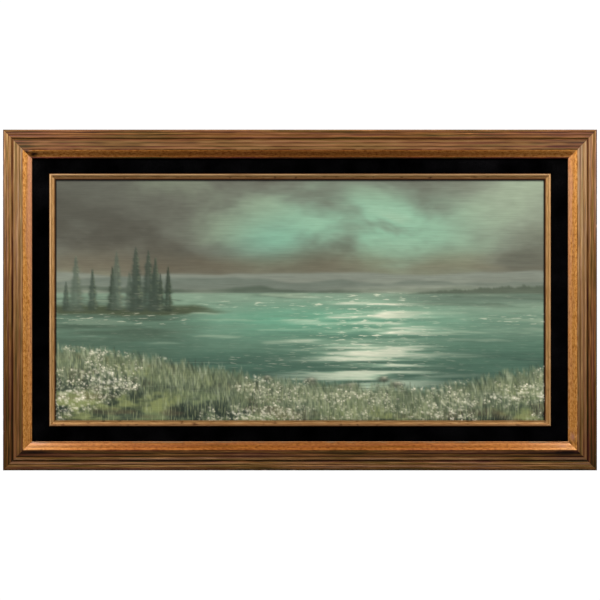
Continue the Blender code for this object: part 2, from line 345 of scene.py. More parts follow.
# Cotton duck has about 18 threads to the centimetre. They are drawn three times as coarse, because
# true ones would be lost at arm's length. The cloth is matt, off white, and browner where it aged.
cotton, tree, shader = start_material("Cotton duck", Roughness=0.9, Specular_IOR_Level=0.1)
where = add_node(tree, "TexCoord", out="Object")
apart = add_node(tree, "SeparateXYZ", {0: where}).node.outputs
waves = []
for axis in ("X", "Z"):
    turns = {0: apart[axis], 1: THREADS_PER_METRE * math.pi}
    turned = add_node(tree, "Math", turns, operation="MULTIPLY")
    waves.append(add_node(tree, "Math", {0: turned}, operation="SINE"))
crossed = add_node(tree, "Math", {0: waves[0], 1: waves[1]}, operation="MULTIPLY")
threads = add_node(tree, "MapRange", {"Value": crossed, "From Min": -1.0, "From Max": 1.0})
ageing = add_node(tree, "TexNoise", {"Vector": where, "Scale": 5.0, "Detail": 6.0})
aged = add_node(
    tree, "ValToRGB", {"Fac": ageing}, stops=((0.3, "#a8946c"), (0.5, "#c4b48f"), (0.7, "#d2c5a4"))
)
woven = add_node(tree, "MapRange", {"Value": threads, "To Min": 0.84, "To Max": 1.05})
cloth_colour = add_node(tree, "VectorMath", {0: aged, "Scale": woven}, operation="SCALE")
finish_surface(tree, shader, cloth_colour, threads, 0.5, 0.0003)

cloth_back = CLOTH_FRONT - CLOTH_THICKNESS
turn_back = BAR_BACK - CLOTH_GAP
inner_bend = CLOTH_BEND - CLOTH_THICKNESS
front_centre = (CLOTH_BEND, CLOTH_FRONT - CLOTH_BEND)
back_centre = (CLOTH_BEND, turn_back + inner_bend)
outer_skin = [(CLOTH_FLAP, turn_back - CLOTH_THICKNESS)]
outer_skin += quarter(back_centre, CLOTH_BEND, 270)
outer_skin += quarter(front_centre, CLOTH_BEND, 180)
outer_skin += [(CLOTH_STEP, CLOTH_FRONT)]
inner_skin = [(CLOTH_STEP, cloth_back)]
inner_skin += quarter(front_centre, inner_bend, 180)[::-1]
inner_skin += quarter(back_centre, inner_bend, 270)[::-1]
inner_skin += [(CLOTH_FLAP, turn_back)]
strip = np.array(outer_skin + inner_skin)
open_row = len(outer_skin) - 1
work = bmesh.new()
for side in range(4):
    along, across, forward = lay_run(side, CLOTH_RING, strip, CLOTH_STEP, seam=0)
    fray = np.random.default_rng(40 + side).normal(0, CLOTH_FRAY, along.shape[1])
    fray[[0, -1]] = 0
    across[[0, -1]] += fray
    points = set_in_place(side, CLOTH_RING, along, across, forward)
    rows, columns = along.shape
    grid = [[work.verts.new(point) for point in row] for row in points.reshape(rows, columns, 3)]
    for row in range(rows):
        here, there = grid[row], grid[(row + 1) % rows]
        for n in range(columns - 1 if row != open_row else 0):
            work.faces.new((here[n], here[n + 1], there[n + 1], there[n]))
flat_width, flat_height = (size - 2 * CLOTH_STEP for size in CLOTH_RING)
counts = [max(2, round(size / CLOTH_STEP) + 1) for size in CLOTH_RING]
for depth in (CLOTH_FRONT, cloth_back):
    xs = np.linspace(-flat_width / 2, flat_width / 2, counts[0])
    zs = np.linspace(-flat_height / 2, flat_height / 2, counts[1]) + MIDDLE.translation.z
    grid = [[work.verts.new((x, -depth, z)) for x in xs] for z in zs]
    for low, high in zip(grid, grid[1:]):
        for n in range(counts[0] - 1):
            work.faces.new((low[n], low[n + 1], high[n + 1], high[n]))
bmesh.ops.remove_doubles(work, verts=work.verts, dist=MERGE_WITHIN)
# At each corner the side's edge was folded over the other one, which leaves a second layer there.
FOLD_OVERLAP = 0.007
FOLD_THICKNESS = 0.0006
FOLD_ROUND = 0.0004
FOLD_SHORT = 0.001
flap_back = turn_back - CLOTH_THICKNESS
down = np.linspace(CLOTH_BEND, CLOTH_FLAP - FOLD_SHORT, 9)
over = np.minimum(FOLD_OVERLAP, 0.8 * down)
fold_rims = (
    (0.0, 0.0),
    (over - FOLD_ROUND, 0.0),
    (over, FOLD_THICKNESS / 2),
    (over - FOLD_ROUND, FOLD_THICKNESS),
    (0.0, FOLD_THICKNESS),
)
for side in (1, 3):
    for hand in (-1, 1):
        rims = []
        for beyond, sink in fold_rims:
            along = hand * (CLOTH_RING[1] / 2 - down + beyond)
            forward = np.full_like(down, flap_back - sink)
            rims.append(set_in_place(side, CLOTH_RING, along, down, forward))
        add_form(work, np.stack(rims, axis=1))
cloth = make_piece(mesh_of(work, "stretched_cloth"), [cotton], 50, "painting", "canvas")

# The staples: flat steel wire, one row along the middle of each turned edge, shot by hand and so
# none quite straight. Their legs go through the cloth into the bars.

STAPLE_CROWN = 0.0105
STAPLE_WIRE = (0.0013, 0.0006)
STAPLE_LEG = 0.006
STAPLE_PITCH = 0.058
STAPLE_CORNER = 0.045
STAPLE_ROW = 0.0145
STAPLE_ROUND = 0.0004
STAPLE_REST = 0.00005


def plate(name, colour, dull):
    """Rolled steel, plain or washed: fine level lines over a soft, slightly uneven sheen. The lines
    are drawn 0.4 mm apart, because real ones are too fine to show.
    """
    material, tree, shader = start_material(name, Metallic=1.0)
    where = add_node(tree, "TexCoord", out="Object")
    lines = streaks(tree, where, (80, 900, 2400), 2.0)
    cloudy = add_node(tree, "TexNoise", {"Vector": where, "Scale": 160.0, "Detail": 4.0})
    tone = add_node(tree, "ValToRGB", {"Fac": cloudy}, stops=((0.38, dull), (0.6, colour)))
    rough = add_node(tree, "MapRange", {"Value": lines, "To Min": 0.25, "To Max": 0.5})
    tree.links.new(rough, shader.inputs["Roughness"])
    finish_surface(tree, shader, tone, lines, 0.2, 0.0001)
    return material


steel = plate("Drawn steel wire", "#b9b8b4", "#85827c")
half, (wide, thick) = STAPLE_CROWN / 2, STAPLE_WIRE
staple_half = np.array(
    [
        (half - STAPLE_ROUND, -thick),
        (half, 0.0),
        (half, STAPLE_LEG),
        (half - thick, STAPLE_LEG),
        (half - thick, STAPLE_REST),
    ]
)
staple_outline = np.concatenate([staple_half, staple_half[::-1] * (-1, 1)])
gun = np.random.default_rng(77)
work = bmesh.new()
for side in range(4):
    run = CLOTH_RING[side % 2] / 2 - STAPLE_CORNER
    for middle in np.linspace(-run, run, round(2 * run / STAPLE_PITCH) + 1):
        middle += gun.normal(0, 0.004)
        down = STAPLE_ROW + gun.normal(0, 0.0015)
        lean = gun.normal(0, 0.12)
        rings = []
        for offset in (-wide / 2, wide / 2):
            along = middle + staple_outline[:, 0] * math.cos(lean) - offset * math.sin(lean)
            across = down + staple_outline[:, 0] * math.sin(lean) + offset * math.cos(lean)
            forward = flap_back + staple_outline[:, 1]
            rings.append(set_in_place(side, CLOTH_RING, along, across, forward))
        add_form(work, rings)
make_piece(mesh_of(work, "cloth_staples"), [steel], 35, "nail")

# The paint: oil colours brushed thin over the primed cloth, thicker in the lights, under a thin even
# varnish. It lies on the cloth as a film of its own, and stops just short of the turned edges.

FILM_SIZE = (1.214, 0.605)
FILM_CELLS = (440, 219)
FILM_GAP = 0.00002
FILM_THICKNESS = 0.0001
THIN_EDGE = 0.008
IMPASTO = 0.00022
SIGHT_SIZE = (1.2, 0.591)
HORIZON = 0.47
BOUGH_SPACING = 0.0042


def carried_amounts(tree, attribute):
    """The three amounts from 0 to 1 that a mesh carries under this name."""
    carried = add_node(tree, "VertexColor", layer_name=attribute)
    return add_node(tree, "SeparateColor", {"Color": carried}).node.outputs


def patches(x, y, cell, seed, octaves=1):
    """Soft random patches from 0 to 1 over points in metres; cell is a patch's size in x and y."""
    total = np.zeros(np.broadcast(x, y).shape)
    weight = 0.0
    for octave in range(octaves):
        share = 0.5**octave
        across = x / (cell[0] * share) + 100.37 * octave
        down = y / (cell[1] * share) + 57.11 * octave
        left, top = np.floor(across).astype(int), np.floor(down).astype(int)
        lots = np.random.default_rng(seed + octave).random(
            (left.max() - left.min() + 2, top.max() - top.min() + 2)
        )
        left0, top0 = left - left.min(), top - top.min()
        fx, fy = across - left, down - top
        fx, fy = fx * fx * (3 - 2 * fx), fy * fy * (3 - 2 * fy)
        near = lots[left0, top0] * (1 - fx) + lots[left0 + 1, top0] * fx
        far = lots[left0, top0 + 1] * (1 - fx) + lots[left0 + 1, top0 + 1] * fx
        total += share * (near * (1 - fy) + far * fy)
        weight += share
    return total / weight


def ease(low, high, values):
    """0 below low and 1 above high, with a soft step between them; low may be the higher."""
    share = np.clip((values - low) / (high - low), 0, 1)
    return share * share * (3 - 2 * share)


def bell(values, middle, reach):
    """1 at the middle and falling softly away from it, to about a third at reach."""
    return np.exp(-(((values - middle) / reach) ** 2))


def wander(cell, seed, octaves):
    """How a line across the picture wanders, from -0.5 to 0.5; cell is the width of a swing."""
    return patches(film_x, 0 * film_x, (cell, 1), seed, octaves) - 0.5


def cell_of(place, axis):
    """The column, or with axis 1 the row, of the picture at a place in metres."""
    return int(min(max(place / FILM_SIZE[axis], 0), 1) * FILM_CELLS[axis])


def glaze(code, amount):
    """Mixes a colour into the picture where amount is above 0."""
    amount = np.clip(amount, 0, 1)[..., None]
    picture[:] = picture * (1 - amount) + pigment(code) * amount


def touch(x, y, reach, code, amount, load=0.0):
    """One soft touch of the brush; reach is its half width and half height, load its thickness."""
    columns = np.abs(film_x[0] - x) < 2.4 * reach[0]
    rows = np.abs(film_y[:, 0] - y) < 2.4 * reach[1]
    if not columns.any() or not rows.any():
        return
    window = np.ix_(rows, columns)
    soft = amount * bell(film_x[window], x, reach[0]) * bell(film_y[window], y, reach[1])
    picture[window] += soft[..., None] * (pigment(code) - picture[window])
    impasto[window] += soft * load


# Places in the picture: in metres from its upper left corner, and as shares of its width and
# height. It is sketched turned over, so that left and right change places at the end.
film_x, film_y = np.meshgrid(
    *(np.linspace(0, size, cells + 1) for size, cells in zip(FILM_SIZE, FILM_CELLS))
)
u, v = film_x / FILM_SIZE[0], film_y / FILM_SIZE[1]
picture = np.zeros((*film_x.shape, 3)) + pigment("#646860")
impasto, glints, blades, petals = (np.zeros(film_x.shape) for layer in range(4))
brush = np.random.default_rng(11)

# Sky: grey brown cloud with a sage opening beside the middle, paler towards the water.
drift = 0.13 * (patches(film_x, film_y, (0.30, 0.20), 21, 3) - 0.5)
lift = 0.09 * (patches(film_x, film_y, (0.26, 0.16), 31, 3) - 0.5)
cloud = patches(film_x + drift, film_y + lift, (0.24, 0.13), 48, 5)
glaze("#4a4a43", ease(0.50, 0.26, cloud))
glaze("#83917f", ease(0.46, 0.68, cloud))
opening = bell(u, 0.37, 0.22) * bell(v, 0.23, 0.17)
glaze("#82ad98", opening * (0.35 + 1.1 * ease(0.34, 0.62, cloud)))
glaze("#b4cab3", ease(0.55, 1.0, opening) * ease(0.5, 0.72, cloud) * 0.9)
glaze("#8d9587", ease(0.24, HORIZON, v) * 0.5)
haze = patches(film_x + drift, film_y, (0.28, 0.06), 47, 3)
glaze("#645a49", bell(v, 0.36, 0.06) * ease(0.42, 0.72, haze) * 0.5)
glaze("#74ac9a", bell(u, 0.56, 0.08) * bell(v, 0.26, 0.08) * 0.6)
glaze("#484c46", ease(0.50, 0.95, u) * ease(0.45, 0.0, v) * 0.62)
glaze("#97ab98", ease(0.26, 0.05, u) * ease(0.42, 0.1, v) * 0.55)

# Hills in the mist: each range is nearer, greener and darker, and fades at its foot.
for crest, swing, cell, seed, code, fade in (
    (0.385, 0.045, 0.34, 61, "#7c877f", 0.10),
    (0.425, 0.040, 0.22, 67, "#66736b", 0.08),
    (0.452, 0.022, 0.12, 71, "#4f5e53", 0.06),
):
    line = crest + 2 * swing * wander(cell, seed, 4)
    below = ease(-0.006, 0.008, v - line)
    glaze(code, below * ease(line + fade * 1.6, line, v) * 0.9)
mist = patches(film_x + drift, film_y, (0.30, 0.03), 83, 3)
glaze("#b4bdad", bell(v, HORIZON + 0.005, 0.03) * ease(0.3, 0.75, mist) * 0.75)

# Water: teal and grey green, in long level strokes, with the opening's light lying on it.
lake = ease(HORIZON - 0.004, HORIZON + 0.008, v)
level = patches(film_x, film_y, (0.16, 0.008), 91, 3)
broad = patches(film_x, film_y, (0.34, 0.035), 97, 3)
glaze("#7e9887", lake)
glaze("#527566", lake * ease(0.50, 0.72, v + 0.10 * (broad - 0.5)))
teal = bell(u, 0.45, 0.24) * bell(v, 0.58, 0.07)
glaze("#58a88c", lake * teal * (0.3 + 0.7 * level))
deep = ease(0.62, 0.9, v + 0.20 * (level - 0.5))
glaze("#2f4a42", lake * deep * (0.35 + 0.65 * ease(0.3, 0.6, broad)))
glaze("#3f5247", lake * bell(v, 0.505, 0.03) * ease(0.45, 0.7, level) * 0.6)
light = bell(u, 0.36 + 0.05 * (level - 0.5), 0.09 + 0.16 * (v - HORIZON))
glaze("#a9c7b0", lake * light * ease(0.30, 0.66, level) * 0.9)
glaze("#f0efdf", lake * light * ease(0.54, 0.70, level) * ease(1.0, 0.6, v))
glaze("#a7bba6", lake * ease(0.62, 0.78, level) * ease(0.95, 0.6, v) * 0.45)
glints += lake * (0.06 + 0.8 * light + 0.35 * ease(0.60, 0.70, broad)) * ease(0.95, 0.55, v)

# A low wooded shore at one side, half lost in the mist.
treetops = 0.030 * ease(0.34, 0.06, u) * (1 + 0.9 * wander(0.012, 99, 3))
far_shore = HORIZON + 0.006 - treetops
shore_wood = ease(-0.004, 0.006, v - far_shore) * ease(HORIZON + 0.012, HORIZON, v)
glaze("#4d5a4e", shore_wood * ease(0.36, 0.24, u) * 0.85)
glaze("#4f6258", lake * ease(0.36, 0.2, u) * bell(v, 0.492, 0.022) * 0.6)

# A spit of land at the other with spruces, and what the water gives back of them.
spit = 0.548 + 0.010 * np.sin(9 * u) + 0.016 * wander(0.05, 101, 3)
tongue = ease(0.60, 0.74, u)
mirrored = lake * ease(0.34, 0.0, v - spit) * ease(-0.002, 0.01, v - spit) * ease(0.66, 0.80, u)
glaze("#465c4f", mirrored * (0.35 + 0.6 * ease(0.72, 0.30, level)))
glaze("#45523f", ease(0.0, 0.02, v - (spit - 0.04 * tongue)) * ease(0.010, 0.0, v - spit) * tongue)
spruces = (("#26332a", "#56664f"), ("#34423a", "#67745f"), ("#4b5a50", "#76816d"))
for number in range(15):
    stem = (0.735 + 0.245 * brush.random()) * FILM_SIZE[0]
    height = brush.uniform(0.075, 0.175) * (0.75 + 0.25 * math.cos(9 * (stem - 1.05)))
    foot = (0.536 + brush.normal(0, 0.006)) * FILM_SIZE[1]
    girth = height * brush.uniform(0.13, 0.19)
    dark, light = spruces[int(3 * brush.random())]
    boughs = int(height / BOUGH_SPACING)
    for bough in range(boughs):
        share = (bough + 0.5) / boughs
        span = girth * share**0.85 * brush.uniform(0.55, 1.15) + 0.0012
        y = foot - height * (1 - share)
        for hand in (-1, 1):
            touch(stem + hand * span * 0.45, y + 0.0016, (span * 0.5, 0.0031), dark, 0.8, 0.1)
        if brush.random() < 0.55:
            touch(stem - span * 0.62, y - 0.0004, (span * 0.3, 0.0017), light, 0.7, 0.25)
foot_mist = bell(v, 0.538, 0.013) * ease(0.3, 0.8, mist)
glaze("#8d998b", foot_mist * ease(0.66, 0.8, u) * 0.55)
waterline = bell(v, spit + 0.006, 0.0035) * ease(0.4, 0.7, level)
glaze("#a9b8a4", waterline * tongue * 0.8)

# The near bank: grey green sedge over dark earth, rising to one side and a little to the other.
edge = 0.875 - 0.17 * ease(0.40, 1.0, u) - 0.07 * ease(0.26, 0.0, u)
edge += 0.035 * wander(0.10, 111, 4)
inland = v - edge
bank = ease(-0.012, 0.016, inland)
turf = patches(film_x, film_y, (0.06, 0.03), 121, 4)
glaze("#4b5a4b", bank)
glaze("#74855f", bank * ease(0.46, 0.66, turf) * 0.8)
sunny = patches(film_x, film_y, (0.20, 0.05), 127, 2)
glaze("#8b9660", bank * ease(0.42, 0.68, sunny) * ease(0.25, 0.6, turf) * 0.7)
glaze("#222f29", bank * ease(0.03, 0.15, inland) * ease(0.60, 0.36, turf) * 0.85)
glaze("#584f3e", bank * ease(0.55, 0.75, patches(film_x, film_y, (0.09, 0.02), 131, 3)) * 0.55)

# Boulders in the shallows: dark at the foot, lit from above on the left.
for number in range(13):
    x = brush.choice([0.27, 0.33, 0.41, 0.47, 0.55]) * FILM_SIZE[0] + brush.normal(0, 0.022)
    y = (edge[0, cell_of(x, 0)] + brush.uniform(-0.05, 0.03)) * FILM_SIZE[1]
    size = brush.uniform(0.008, 0.019)
    touch(x, y + size * 0.35, (size * 1.25, size * 0.42), "#2f3a33", 0.9)
    touch(x, y, (size, size * 0.52), "#555c50", 0.95, 0.1)
    touch(x - size * 0.2, y - size * 0.22, (size * 0.66, size * 0.26), "#8f9484", 0.85, 0.25)
    touch(x - size * 0.3, y - size * 0.33, (size * 0.36, size * 0.13), "#cfd0bd", 0.8, 0.5)

# Sedge along the water, each blade in four touches that lean with the wind.
sedges = ("#8c9b7c", "#738266", "#aab59c", "#4f5e4c", "#364336", "#5f6e54")
for number in range(3400):
    x = brush.random() * FILM_SIZE[0]
    shore = edge[0, cell_of(x, 0)]
    root = shore + abs(brush.normal(0, 0.075)) - 0.004
    if root > 1.04:
        continue
    length = brush.uniform(0.010, 0.030) * (0.8 + 0.9 * (root - shore) / 0.15)
    lean = brush.normal(0.2, 0.4)
    code = sedges[int(brush.integers(0, 6))]
    for step in range(4):
        rise = step / 3
        tip_x, tip_y = x + lean * length * rise**1.6, root * FILM_SIZE[1] - length * rise
        touch(tip_x, tip_y, (0.0020 - 0.0007 * rise, 0.0046), code, 0.45, 0.2)
blades += bank * ease(-0.03, 0.03, inland) * 0.7

# Blossom drifting along the bank, the thickest paint in the picture.
drifts = patches(film_x, film_y, (0.12, 0.045), 161, 3)
blossoms = ("#7d8871", "#a9b096", "#cfd2ba", "#e6e6d4", "#f6f3e6")
for number in range(5200):
    x, y = brush.random() * FILM_SIZE[0], brush.uniform(0.66, 1.0) * FILM_SIZE[1]
    column, row = cell_of(x, 0), cell_of(y, 1)
    depth = inland[row, column]
    if depth < -0.03:
        continue
    if drifts[row, column] + 0.10 * brush.random() < 0.585 + 0.5 * max(depth - 0.12, 0):
        continue
    fullness = ease(0.585, 0.72, drifts[row, column])
    code = blossoms[int(np.clip(brush.normal(1.2 + 2.6 * fullness, 1.0), 0, 4))]
    size = brush.uniform(0.0017, 0.0034)
    touch(x, y, (size, size * 0.8), code, 0.7, 0.8)
    petals[row, column] += 0.5
petals = sum(np.roll(petals, (dy, dx), (0, 1)) for dy in (-1, 0, 1) for dx in (-1, 0, 1)) / 3

# The brush: short level strokes in the water, slanting ones in the sky, and the cloth's tooth.
strokes = patches(film_x + 0.4 * film_y, film_y, (0.035, 0.006), 141, 2)
picture *= 0.93 + 0.07 * (strokes - 0.5)[..., None]
picture += 0.012 * (patches(film_x, film_y, (0.012, 0.004), 151, 2) - 0.5)[..., None]
impasto += 0.35 * (strokes - 0.5) + 0.3

# The sketch is turned over, which puts the spruces on the left.
picture, impasto, glints, blades, petals = (
    layer[:, ::-1].copy() for layer in (picture, impasto, glints, blades, petals)
)

# The fillet's painted shadow, with some dirt, darkens a hairline beside it, least along the bottom.
margin = [(size - sight) / 2 for size, sight in zip(FILM_SIZE, SIGHT_SIZE)]
beside = np.minimum(film_x, FILM_SIZE[0] - film_x) - margin[0]
under = film_y - margin[1]
over = FILM_SIZE[1] - film_y - margin[1]
picture *= 1 - 0.95 * ease(0.0042, 0.0012, beside)[..., None]
picture *= 1 - 0.80 * ease(0.0055, 0.0016, under)[..., None]
picture *= 1 - 0.30 * ease(0.0030, 0.0, over)[..., None]

# Oil paint under varnish: a low even gloss, with the cloth's threads showing through as fine level
# lines. Threads are 0.55 mm apart; the lines are drawn 2.6 mm apart so that they show at all.
oils, tree, shader = start_material("Varnished oil paint", Roughness=0.42, Specular_IOR_Level=0.32)
ground = add_node(tree, "VertexColor", layer_name="Paint")
touches = carried_amounts(tree, "Touches")
where = add_node(tree, "TexCoord", out="Object")
level_noise = streaks(tree, where, (14, 1, 380), 2.0)
toothed = add_node(
    tree,
    "MapRange",
    {"Value": level_noise, "From Min": 0.3, "From Max": 0.7, "To Min": 0.93, "To Max": 1.07},
)
painted = add_node(tree, "VectorMath", {0: ground, "Scale": toothed}, operation="SCALE")
# Over it lie the last touches: flat flicks of pale green, 4 mm high, that a small brush leaves on
# the ripples, upright strokes of a rigger brush, 3 mm wide, in the grass, and petals in round dabs
# about 4 mm across.
flick = streaks(tree, where, (34, 1, 260), 3.0)
leaning = {"Vector": where, "Rotation": (0, 0.22, 0), "Scale": (330, 1, 34)}
upright = add_node(tree, "Mapping", leaning)
blade = add_node(tree, "TexNoise", {"Vector": upright, "Scale": 1.0, "Detail": 3.0})
dab = add_node(tree, "TexVoronoi", {"Vector": where, "Scale": 150.0})
for texture, (none, full), strength, place, code in (
    (flick, (0.57, 0.66), 1.0, touches[0], "#dfe3d0"),
    (blade, (0.52, 0.66), 0.6, touches[1], "#9aa57e"),
    (dab, (0.42, 0.26), 1.0, touches[2], "#f0eddc"),
):
    limits = {"Value": texture, "From Min": none, "From Max": full, "To Max": strength}
    shape = add_node(tree, "MapRange", limits)
    amount = add_node(tree, "Math", {0: shape, 1: place}, operation="MULTIPLY")
    tones = {"Factor": amount, "A": painted, "B": shade(code)}
    painted = add_node(tree, "Mix", tones, data_type="RGBA")
thickness = add_node(tree, "Math", {0: amount, 1: level_noise}, operation="ADD")
finish_surface(tree, shader, painted, thickness, 0.3, 0.0004)

film_back = CLOTH_FRONT + FILM_GAP
sides_away = np.minimum(film_x, FILM_SIZE[0] - film_x)
ends_away = np.minimum(film_y, FILM_SIZE[1] - film_y)
thinned = ease(0, THIN_EDGE, np.minimum(sides_away, ends_away))
height = film_back + FILM_THICKNESS + IMPASTO * np.clip(impasto, 0, 1) * thinned
film_z = FILM_SIZE[1] / 2 - film_y + MIDDLE.translation.z
front = np.stack([film_x - FILM_SIZE[0] / 2, -height, film_z], axis=-1).reshape(-1, 3)
index = np.arange(film_x.size).reshape(film_x.shape)
quads = np.stack([index[:-1, :-1], index[1:, :-1], index[1:, 1:], index[:-1, 1:]], axis=-1)
rim = np.concatenate([index[0, :-1], index[:-1, -1], index[-1, :0:-1], index[:0:-1, 0]])
behind = front[rim].copy()
behind[:, 1] = -film_back
centre = [[0, -film_back, MIDDLE.translation.z]]
under = film_x.size + np.arange(len(rim))
hub = film_x.size + len(rim)
rim_next, under_next = np.roll(rim, -1), np.roll(under, -1)
walls = np.stack([rim, rim_next, under_next, under], axis=-1)
fans = np.stack([under, under_next, np.full_like(under, hub)], axis=-1)
faces = [*quads.reshape(-1, 4).tolist(), *walls.tolist(), *fans.tolist()]
film_mesh = bpy.data.meshes.new("oil_paint")
film_mesh.from_pydata(np.concatenate([front, behind, centre]).tolist(), [], faces)
for title, values in (
    ("Paint", to_linear(np.clip(picture, 0, 1))),
    ("Touches", np.clip(np.stack([glints * 0.8, blades, petals * 0.8], axis=-1), 0, 1)),
):
    carry(film_mesh, title, values.reshape(-1, 3))
make_piece(film_mesh, [oils], 50, "painting")

# The fillet: a narrow wooden slip, gessoed and gilt with leaf over red clay, then rubbed. Its round
# outer bead carries a painted highlight, its cove, flat and nose painted shade, and its back and
# leg are bare wood.

FILLET_RING = ring_of("gilt_fillet")
liner_low, liner_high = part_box("velvet_liner_top")
LINER_FRONT = -liner_low.y
LINER_BACK = -liner_high.y
FILLET_WIDTH = 0.014
FILLET_LEG = 0.0033
FILLET_BEAD = 0.0044
FILLET_FLAT = 0.0046
FILLET_PROUD = 0.0025
FILLET_DROP = 0.0055
FILLET_LIP = 0.0028
FILLET_NOSE = 0.0006
FILLET_STEP = 0.004
HAND_RELIEF = 0.00018
DENT_DEPTH = 0.0003
# The bead is the part of a half round between these shares of it.
BEAD_FROM = 0.15
BEAD_TO = 0.75
# How bright the painted highlight on the bead of each length is, and how wide a rim of it is
# dark with painted shade: on the top, right, bottom and left length. A wide rim moves the
# highlight inwards.
BEAD_HIGHLIGHT = (1.2, 0.7, 0.15, 1.2)
HIGHLIGHT_AT = 0.0019
HIGHLIGHT_REACH = 0.0013
RIM_SHADE = (0.0034, 0.0007, 0.0016, 0.0015)
# Painted shade in the hollow of the cove, and its middle and reach across the fillet.
COVE_SHADE = (0.0, 0.0, 0.6, 0.0)
COVE_HOLLOW = (0.0062, 0.0016)
# Painted shade on the bead, the flat and the nose: from where to where it deepens, and on which
# lengths.
FILLET_SHADE = (
    (0.0056, 0.0040, (0.0, 0.0, 0.7, 0.0)),
    (0.0060, 0.0100, (0.6, 0.0, 0.2, 0.0)),
    (0.0113, 0.0122, (0.9, 1.0, 0.1, 0.9)),
)

# Leaf under a worn shellac: a warm satin gold, brown with painted shade and pale with a painted
# highlight.
# The laps of the leaf show as soft streaks 2 mm wide.
gold, tree, shader = start_material("Gold leaf on red clay", Metallic=0.55, Roughness=0.4)
finish_and_light = carried_amounts(tree, "FinishAndLight")
leaf = streaks(tree, add_node(tree, "UVMap", uv_map="Grain"), (30, 500, 1), 4.0)
leaf_tone = add_node(
    tree, "ValToRGB", {"Fac": leaf}, stops=((0.3, "#946a3c"), (0.5, "#b48a55"), (0.7, "#caa473"))
)
# Painted shade browns the leaf and a painted highlight pales it.
for amount, code in ((finish_and_light[2], "#4c2a0c"), (finish_and_light[1], "#e0b989")):
    tones = {"Factor": amount, "A": leaf_tone, "B": shade(code)}
    leaf_tone = add_node(tree, "Mix", tones, data_type="RGBA")
finish_surface(tree, shader, leaf_tone, leaf, 0.25, 0.0003)
slip_wood = sawn_wood("Sawn lime wood", "#cfae7c", "#b08a55", "#8a6337", 0.004)

fillet_top = LINER_FRONT + FILLET_PROUD
fillet_sight = fillet_top - FILLET_DROP
fillet_seat = fillet_sight - FILLET_LIP
cove_end = FILLET_WIDTH - FILLET_FLAT
share = np.linspace(0, 1, 9)
bead_rise = np.sin(np.pi * (BEAD_FROM + (BEAD_TO - BEAD_FROM) * share))
bead = np.stack([share * FILLET_BEAD, LINER_FRONT + FILLET_PROUD * bead_rise], axis=-1)
bead_end = bead[-1]
cove_run = np.stack([share, np.sin(np.pi / 2 * share)], axis=-1)[1:]
cove = bead_end + (np.array([cove_end, fillet_sight]) - bead_end) * cove_run
face = [(cove_end + FILLET_FLAT * share, fillet_sight) for share in (0.3, 0.6, 0.74, 0.88)]
nose = [
    (FILLET_WIDTH - FILLET_NOSE / 3, fillet_sight - FILLET_NOSE / 6),
    (FILLET_WIDTH, fillet_sight - FILLET_NOSE),
]
legs = [(FILLET_WIDTH, fillet_seat), (FILLET_LEG, fillet_seat), (FILLET_LEG, LINER_BACK)]
fillet_outline = np.array([(0.0, LINER_BACK), *bead, *cove, *face, *nose, *legs])
fillet_skins = [0] * (len(fillet_outline) - 3) + [1, 1, 1]
for side in range(4):
    along, across, forward = lay_run(side, FILLET_RING, fillet_outline, FILLET_STEP)
    hand = patches(along, across, (0.05, 0.003), 500 + side, 2) - 0.5
    on_face = (across > 0.0006) & (across < FILLET_WIDTH - 0.0004)
    on_face = on_face & (forward > fillet_seat + 0.0005)
    dent = ease(0.80, 0.95, patches(along, across, (0.010, 0.004), 520 + side))
    forward = forward + np.where(on_face, HAND_RELIEF * hand - DENT_DEPTH * dent, 0)
    # Painted shade in the cove, on the bead's rim, the flat and the nose, and darker dents.
    painted_shade = COVE_SHADE[side] * bell(across, *COVE_HOLLOW) * (1 + 0.8 * hand)
    for start, end, amounts in FILLET_SHADE:
        painted_shade = painted_shade + amounts[side] * ease(start, end, across)
    rim_shade = RIM_SHADE[side]
    painted_shade = painted_shade + 0.9 * ease(rim_shade + 0.0003, rim_shade - 0.0004, across)
    # A painted highlight along the bead's crown, brightest on the top and left lengths.
    bead_highlight = bell(across, HIGHLIGHT_AT + 0.5 * rim_shade, HIGHLIGHT_REACH) * (0.7 + hand) * BEAD_HIGHLIGHT[side]
    amounts = (dent, np.clip(bead_highlight, 0, 1), np.clip(painted_shade + 0.5 * dent, 0, 1))
    mesh_length(
        side,
        ("leafed_fillet", "gilt_fillet"),
        "gilding",
        FILLET_RING,
        (along, across, forward),
        fillet_skins,
        [gold, slip_wood],
        {"FinishAndLight": amounts},
    )

# The liner: flat lengths of board covered with black cotton velvet, glued down and turned in. The
# pile swallows the light, and only a brushed patch or two breaks it.

LINER_RING = ring_of("velvet_liner")
LINER_WIDTH = 0.0475
LINER_ROUND = 0.0015
LINER_STEP = 0.006
PILLOW = 0.0004
# The velvet is turned in behind the outer and the inner edge; the back is bare board between.
TURNED_OUTER = 0.010
TURNED_INNER = 0.012
velvet, tree, shader = start_material(
    "Black cotton velvet",
    Roughness=1.0,
    Specular_IOR_Level=0.0,
    Sheen_Weight=0.06,
    Sheen_Roughness=0.45,
    Sheen_Tint=shade("#3a3840"),
)
